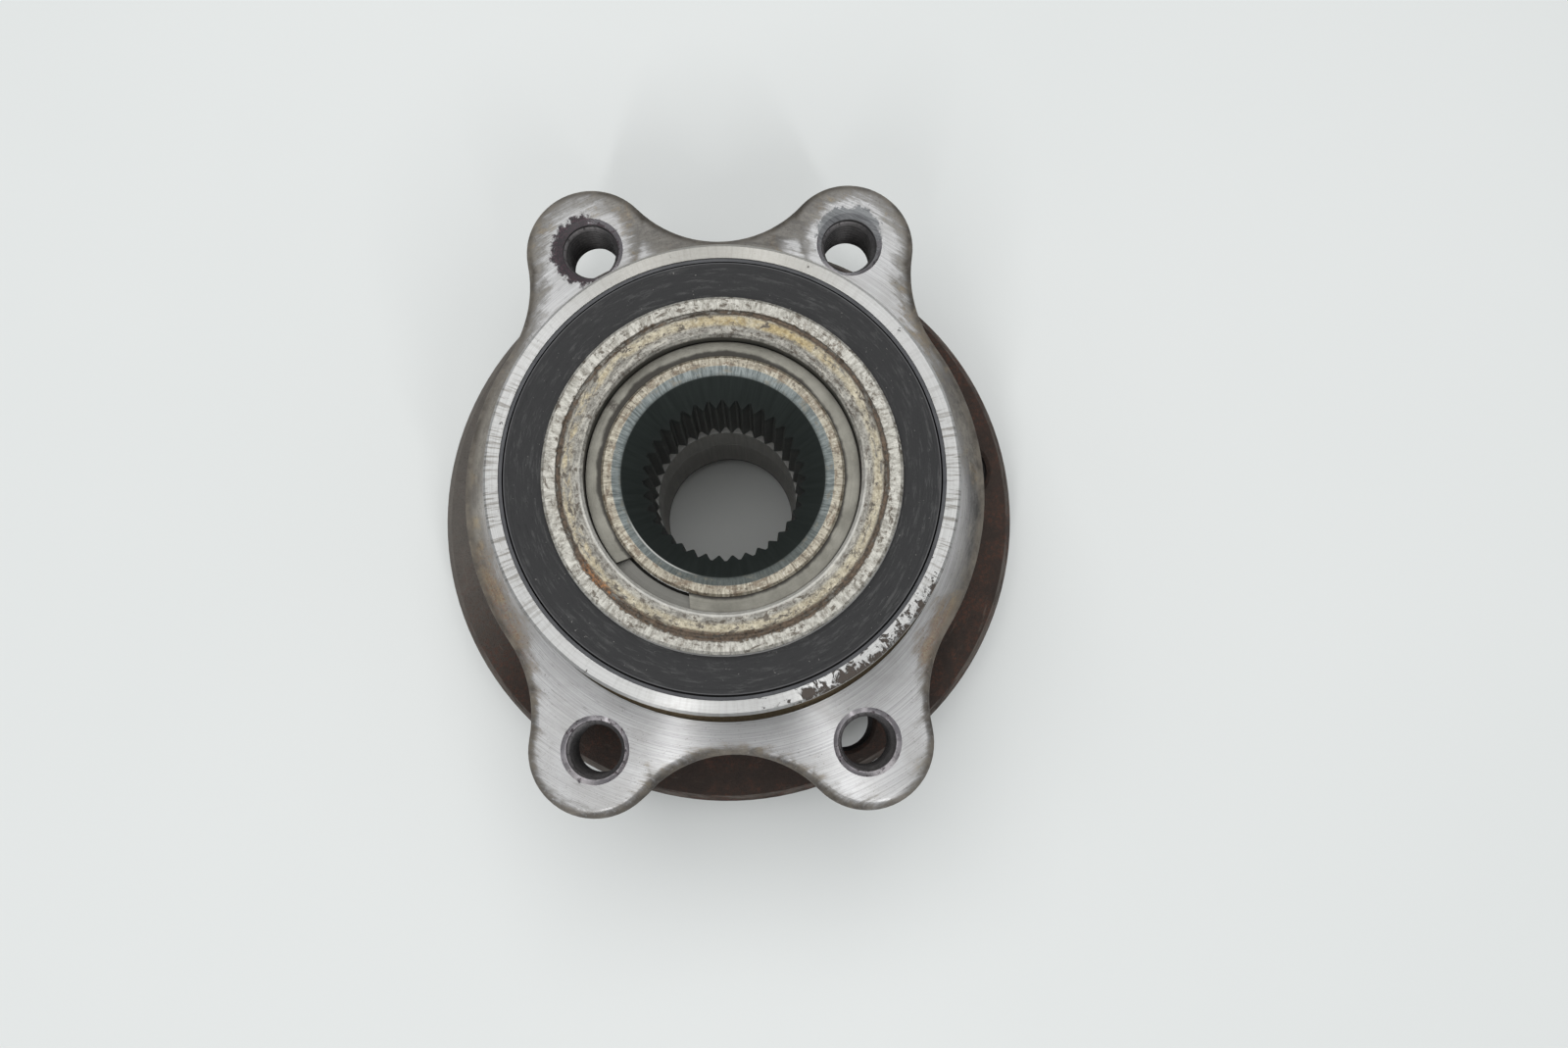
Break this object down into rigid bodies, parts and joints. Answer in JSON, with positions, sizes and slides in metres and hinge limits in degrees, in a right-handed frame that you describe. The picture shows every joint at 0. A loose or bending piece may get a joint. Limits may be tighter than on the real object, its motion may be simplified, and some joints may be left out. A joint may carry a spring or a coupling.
{
  "type": "wheel hub bearing",
  "caption": "Flanged wheel hub bearing: outer ring with threaded mounting ears around a splined driven hub, with caged balls, seals and a speed encoder ring.",
  "frame": {"origin": "centre of the wheel pilot's end face, where the part stands on its spin axis", "axes": "+Z along the spin axis from the wheel side to the knuckle side; X along the short side and Y along the long side of the rectangle of threaded ears"},
  "size_m": [0.135, 0.135, 0.078],
  "materials": {
    "ring_steel": "machined and worn, with oil-brown forged edges",
    "hub_steel": "forged steel with dark rust on the flange and machined seats",
    "bearing_steel": "ground steel, worn and stained on its face",
    "spring_steel": "smooth grey spring steel",
    "ball_steel": "polished",
    "sheet_steel": "pressed sheet",
    "coated_sheet": "pressed sheet with a thin rubber coat",
    "seal_rubber": "matt",
    "encoder_rubber": "matt, blue-black, lightly rubbed",
    "cage_polymer": "moulded"
  },
  "bodies": {
    "outer": {"outer_ring": "ring_steel", "outboard_seal_case": "sheet_steel", "outboard_seal_lip": "seal_rubber", "inboard_seal_case": "coated_sheet", "inboard_seal_lip": "seal_rubber"},
    "rotor": {"hub": "hub_steel", "inner_ring": "bearing_steel", "retaining_ring": "spring_steel", "slinger": "sheet_steel", "encoder_ring": "encoder_rubber"},
    "outboard_cage_body": {"outboard_cage": "cage_polymer"},
    "outboard_ball_01_body": {"outboard_ball_01": "ball_steel"},
    "outboard_ball_02_body": {"outboard_ball_02": "ball_steel"},
    "outboard_ball_03_body": {"outboard_ball_03": "ball_steel"},
    "outboard_ball_04_body": {"outboard_ball_04": "ball_steel"},
    "outboard_ball_05_body": {"outboard_ball_05": "ball_steel"},
    "outboard_ball_06_body": {"outboard_ball_06": "ball_steel"},
    "outboard_ball_07_body": {"outboard_ball_07": "ball_steel"},
    "outboard_ball_08_body": {"outboard_ball_08": "ball_steel"},
    "outboard_ball_09_body": {"outboard_ball_09": "ball_steel"},
    "outboard_ball_10_body": {"outboard_ball_10": "ball_steel"},
    "outboard_ball_11_body": {"outboard_ball_11": "ball_steel"},
    "outboard_ball_12_body": {"outboard_ball_12": "ball_steel"},
    "outboard_ball_13_body": {"outboard_ball_13": "ball_steel"},
    "outboard_ball_14_body": {"outboard_ball_14": "ball_steel"},
    "inboard_cage_body": {"inboard_cage": "cage_polymer"},
    "inboard_ball_01_body": {"inboard_ball_01": "ball_steel"},
    "inboard_ball_02_body": {"inboard_ball_02": "ball_steel"},
    "inboard_ball_03_body": {"inboard_ball_03": "ball_steel"},
    "inboard_ball_04_body": {"inboard_ball_04": "ball_steel"},
    "inboard_ball_05_body": {"inboard_ball_05": "ball_steel"},
    "inboard_ball_06_body": {"inboard_ball_06": "ball_steel"},
    "inboard_ball_07_body": {"inboard_ball_07": "ball_steel"},
    "inboard_ball_08_body": {"inboard_ball_08": "ball_steel"},
    "inboard_ball_09_body": {"inboard_ball_09": "ball_steel"},
    "inboard_ball_10_body": {"inboard_ball_10": "ball_steel"},
    "inboard_ball_11_body": {"inboard_ball_11": "ball_steel"},
    "inboard_ball_12_body": {"inboard_ball_12": "ball_steel"},
    "inboard_ball_13_body": {"inboard_ball_13": "ball_steel"},
    "inboard_ball_14_body": {"inboard_ball_14": "ball_steel"}
  },
  "joints": [
    {"name": "hub_spin", "type": "hinge", "parent": "outer", "child": "rotor", "pos_m": [0, 0, 0.043], "axis": [0, 0, 1], "continuous": true},
    {"name": "outboard_cage_spin", "type": "hinge", "parent": "outer", "child": "outboard_cage_body", "pos_m": [0, 0, 0.043], "axis": [0, 0, 1], "continuous": true},
    {"name": "outboard_ball_01_spin", "type": "hinge", "parent": "outboard_cage_body", "child": "outboard_ball_01_body", "pos_m": [0.0365, 0, 0.043], "axis": [-0.5878, 0, 0.809], "continuous": true},
    {"name": "outboard_ball_02_spin", "type": "hinge", "parent": "outboard_cage_body", "child": "outboard_ball_02_body", "pos_m": [0.03289, 0.01584, 0.043], "axis": [-0.5296, -0.255, 0.809], "continuous": true},
    {"name": "outboard_ball_03_spin", "type": "hinge", "parent": "outboard_cage_body", "child": "outboard_ball_03_body", "pos_m": [0.02276, 0.02854, 0.043], "axis": [-0.3665, -0.4595, 0.809], "continuous": true},
    {"name": "outboard_ball_04_spin", "type": "hinge", "parent": "outboard_cage_body", "child": "outboard_ball_04_body", "pos_m": [0.00812, 0.03558, 0.043], "axis": [-0.1308, -0.573, 0.809], "continuous": true},
    {"name": "outboard_ball_05_spin", "type": "hinge", "parent": "outboard_cage_body", "child": "outboard_ball_05_body", "pos_m": [-0.00812, 0.03558, 0.043], "axis": [0.1308, -0.573, 0.809], "continuous": true},
    {"name": "outboard_ball_06_spin", "type": "hinge", "parent": "outboard_cage_body", "child": "outboard_ball_06_body", "pos_m": [-0.02276, 0.02854, 0.043], "axis": [0.3665, -0.4595, 0.809], "continuous": true},
    {"name": "outboard_ball_07_spin", "type": "hinge", "parent": "outboard_cage_body", "child": "outboard_ball_07_body", "pos_m": [-0.03289, 0.01584, 0.043], "axis": [0.5296, -0.255, 0.809], "continuous": true},
    {"name": "outboard_ball_08_spin", "type": "hinge", "parent": "outboard_cage_body", "child": "outboard_ball_08_body", "pos_m": [-0.0365, 0, 0.043], "axis": [0.5878, 0, 0.809], "continuous": true},
    {"name": "outboard_ball_09_spin", "type": "hinge", "parent": "outboard_cage_body", "child": "outboard_ball_09_body", "pos_m": [-0.03289, -0.01584, 0.043], "axis": [0.5296, 0.255, 0.809], "continuous": true},
    {"name": "outboard_ball_10_spin", "type": "hinge", "parent": "outboard_cage_body", "child": "outboard_ball_10_body", "pos_m": [-0.02276, -0.02854, 0.043], "axis": [0.3665, 0.4595, 0.809], "continuous": true},
    {"name": "outboard_ball_11_spin", "type": "hinge", "parent": "outboard_cage_body", "child": "outboard_ball_11_body", "pos_m": [-0.00812, -0.03558, 0.043], "axis": [0.1308, 0.573, 0.809], "continuous": true},
    {"name": "outboard_ball_12_spin", "type": "hinge", "parent": "outboard_cage_body", "child": "outboard_ball_12_body", "pos_m": [0.00812, -0.03558, 0.043], "axis": [-0.1308, 0.573, 0.809], "continuous": true},
    {"name": "outboard_ball_13_spin", "type": "hinge", "parent": "outboard_cage_body", "child": "outboard_ball_13_body", "pos_m": [0.02276, -0.02854, 0.043], "axis": [-0.3665, 0.4595, 0.809], "continuous": true},
    {"name": "outboard_ball_14_spin", "type": "hinge", "parent": "outboard_cage_body", "child": "outboard_ball_14_body", "pos_m": [0.03289, -0.01584, 0.043], "axis": [-0.5296, 0.255, 0.809], "continuous": true},
    {"name": "inboard_cage_spin", "type": "hinge", "parent": "outer", "child": "inboard_cage_body", "pos_m": [0, 0, 0.064], "axis": [0, 0, 1], "continuous": true},
    {"name": "inboard_ball_01_spin", "type": "hinge", "parent": "inboard_cage_body", "child": "inboard_ball_01_body", "pos_m": [0.0365, 0, 0.064], "axis": [0.5878, 0, 0.809], "continuous": true},
    {"name": "inboard_ball_02_spin", "type": "hinge", "parent": "inboard_cage_body", "child": "inboard_ball_02_body", "pos_m": [0.03289, 0.01584, 0.064], "axis": [0.5296, 0.255, 0.809], "continuous": true},
    {"name": "inboard_ball_03_spin", "type": "hinge", "parent": "inboard_cage_body", "child": "inboard_ball_03_body", "pos_m": [0.02276, 0.02854, 0.064], "axis": [0.3665, 0.4595, 0.809], "continuous": true},
    {"name": "inboard_ball_04_spin", "type": "hinge", "parent": "inboard_cage_body", "child": "inboard_ball_04_body", "pos_m": [0.00812, 0.03558, 0.064], "axis": [0.1308, 0.573, 0.809], "continuous": true},
    {"name": "inboard_ball_05_spin", "type": "hinge", "parent": "inboard_cage_body", "child": "inboard_ball_05_body", "pos_m": [-0.00812, 0.03558, 0.064], "axis": [-0.1308, 0.573, 0.809], "continuous": true},
    {"name": "inboard_ball_06_spin", "type": "hinge", "parent": "inboard_cage_body", "child": "inboard_ball_06_body", "pos_m": [-0.02276, 0.02854, 0.064], "axis": [-0.3665, 0.4595, 0.809], "continuous": true},
    {"name": "inboard_ball_07_spin", "type": "hinge", "parent": "inboard_cage_body", "child": "inboard_ball_07_body", "pos_m": [-0.03289, 0.01584, 0.064], "axis": [-0.5296, 0.255, 0.809], "continuous": true},
    {"name": "inboard_ball_08_spin", "type": "hinge", "parent": "inboard_cage_body", "child": "inboard_ball_08_body", "pos_m": [-0.0365, 0, 0.064], "axis": [-0.5878, 0, 0.809], "continuous": true},
    {"name": "inboard_ball_09_spin", "type": "hinge", "parent": "inboard_cage_body", "child": "inboard_ball_09_body", "pos_m": [-0.03289, -0.01584, 0.064], "axis": [-0.5296, -0.255, 0.809], "continuous": true},
    {"name": "inboard_ball_10_spin", "type": "hinge", "parent": "inboard_cage_body", "child": "inboard_ball_10_body", "pos_m": [-0.02276, -0.02854, 0.064], "axis": [-0.3665, -0.4595, 0.809], "continuous": true},
    {"name": "inboard_ball_11_spin", "type": "hinge", "parent": "inboard_cage_body", "child": "inboard_ball_11_body", "pos_m": [-0.00812, -0.03558, 0.064], "axis": [-0.1308, -0.573, 0.809], "continuous": true},
    {"name": "inboard_ball_12_spin", "type": "hinge", "parent": "inboard_cage_body", "child": "inboard_ball_12_body", "pos_m": [0.00812, -0.03558, 0.064], "axis": [0.1308, -0.573, 0.809], "continuous": true},
    {"name": "inboard_ball_13_spin", "type": "hinge", "parent": "inboard_cage_body", "child": "inboard_ball_13_body", "pos_m": [0.02276, -0.02854, 0.064], "axis": [0.3665, -0.4595, 0.809], "continuous": true},
    {"name": "inboard_ball_14_spin", "type": "hinge", "parent": "inboard_cage_body", "child": "inboard_ball_14_body", "pos_m": [0.03289, -0.01584, 0.064], "axis": [0.5296, -0.255, 0.809], "continuous": true}
  ],
  "couplings": [
    {"joint": "outboard_cage_spin", "follows": "hub_spin", "ratio": 0.42963},
    {"joint": "outboard_ball_01_spin", "follows": "hub_spin", "ratio": -2.8171},
    {"joint": "outboard_ball_02_spin", "follows": "hub_spin", "ratio": -2.8171},
    {"joint": "outboard_ball_03_spin", "follows": "hub_spin", "ratio": -2.8171},
    {"joint": "outboard_ball_04_spin", "follows": "hub_spin", "ratio": -2.8171},
    {"joint": "outboard_ball_05_spin", "follows": "hub_spin", "ratio": -2.8171},
    {"joint": "outboard_ball_06_spin", "follows": "hub_spin", "ratio": -2.8171},
    {"joint": "outboard_ball_07_spin", "follows": "hub_spin", "ratio": -2.8171},
    {"joint": "outboard_ball_08_spin", "follows": "hub_spin", "ratio": -2.8171},
    {"joint": "outboard_ball_09_spin", "follows": "hub_spin", "ratio": -2.8171},
    {"joint": "outboard_ball_10_spin", "follows": "hub_spin", "ratio": -2.8171},
    {"joint": "outboard_ball_11_spin", "follows": "hub_spin", "ratio": -2.8171},
    {"joint": "outboard_ball_12_spin", "follows": "hub_spin", "ratio": -2.8171},
    {"joint": "outboard_ball_13_spin", "follows": "hub_spin", "ratio": -2.8171},
    {"joint": "outboard_ball_14_spin", "follows": "hub_spin", "ratio": -2.8171},
    {"joint": "inboard_cage_spin", "follows": "hub_spin", "ratio": 0.42963},
    {"joint": "inboard_ball_01_spin", "follows": "hub_spin", "ratio": -2.8171},
    {"joint": "inboard_ball_02_spin", "follows": "hub_spin", "ratio": -2.8171},
    {"joint": "inboard_ball_03_spin", "follows": "hub_spin", "ratio": -2.8171},
    {"joint": "inboard_ball_04_spin", "follows": "hub_spin", "ratio": -2.8171},
    {"joint": "inboard_ball_05_spin", "follows": "hub_spin", "ratio": -2.8171},
    {"joint": "inboard_ball_06_spin", "follows": "hub_spin", "ratio": -2.8171},
    {"joint": "inboard_ball_07_spin", "follows": "hub_spin", "ratio": -2.8171},
    {"joint": "inboard_ball_08_spin", "follows": "hub_spin", "ratio": -2.8171},
    {"joint": "inboard_ball_09_spin", "follows": "hub_spin", "ratio": -2.8171},
    {"joint": "inboard_ball_10_spin", "follows": "hub_spin", "ratio": -2.8171},
    {"joint": "inboard_ball_11_spin", "follows": "hub_spin", "ratio": -2.8171},
    {"joint": "inboard_ball_12_spin", "follows": "hub_spin", "ratio": -2.8171},
    {"joint": "inboard_ball_13_spin", "follows": "hub_spin", "ratio": -2.8171},
    {"joint": "inboard_ball_14_spin", "follows": "hub_spin", "ratio": -2.8171}
  ]
}
